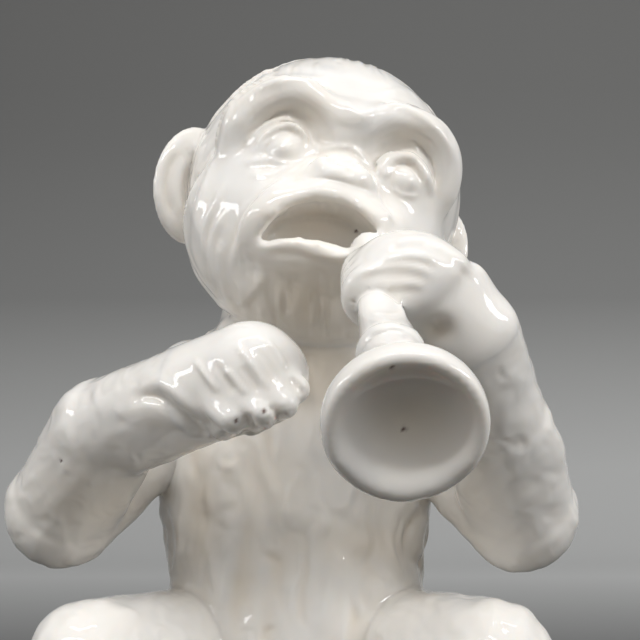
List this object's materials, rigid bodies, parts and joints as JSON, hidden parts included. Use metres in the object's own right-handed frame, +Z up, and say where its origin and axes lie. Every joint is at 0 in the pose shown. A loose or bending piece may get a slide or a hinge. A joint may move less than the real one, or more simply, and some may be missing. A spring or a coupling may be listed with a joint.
{
  "type": "monkey figurine",
  "caption": "Seated monkey figurine in white glazed ceramic, head tilted back with its mouth open, blowing a short horn held in one hand, the other hand loosely closed before the chest.",
  "frame": {"origin": "on the resting plane, under the middle of the trunk", "axes": "+Z up, -Y out of the monkey's chest, +X to the monkey's own left"},
  "size_m": [0.1568, 0.1966, 0.1981],
  "materials": {
    "white_glaze": "gloss"
  },
  "bodies": {
    "root": {"trunk": "white_glaze", "head": "white_glaze", "left_ear": "white_glaze", "right_ear": "white_glaze", "left_arm": "white_glaze", "right_arm": "white_glaze", "left_hand": "white_glaze", "right_hand": "white_glaze", "horn_tube": "white_glaze", "horn_bell": "white_glaze", "left_leg": "white_glaze", "right_leg": "white_glaze", "left_foot": "white_glaze", "right_foot": "white_glaze"}
  },
  "joints": []
}
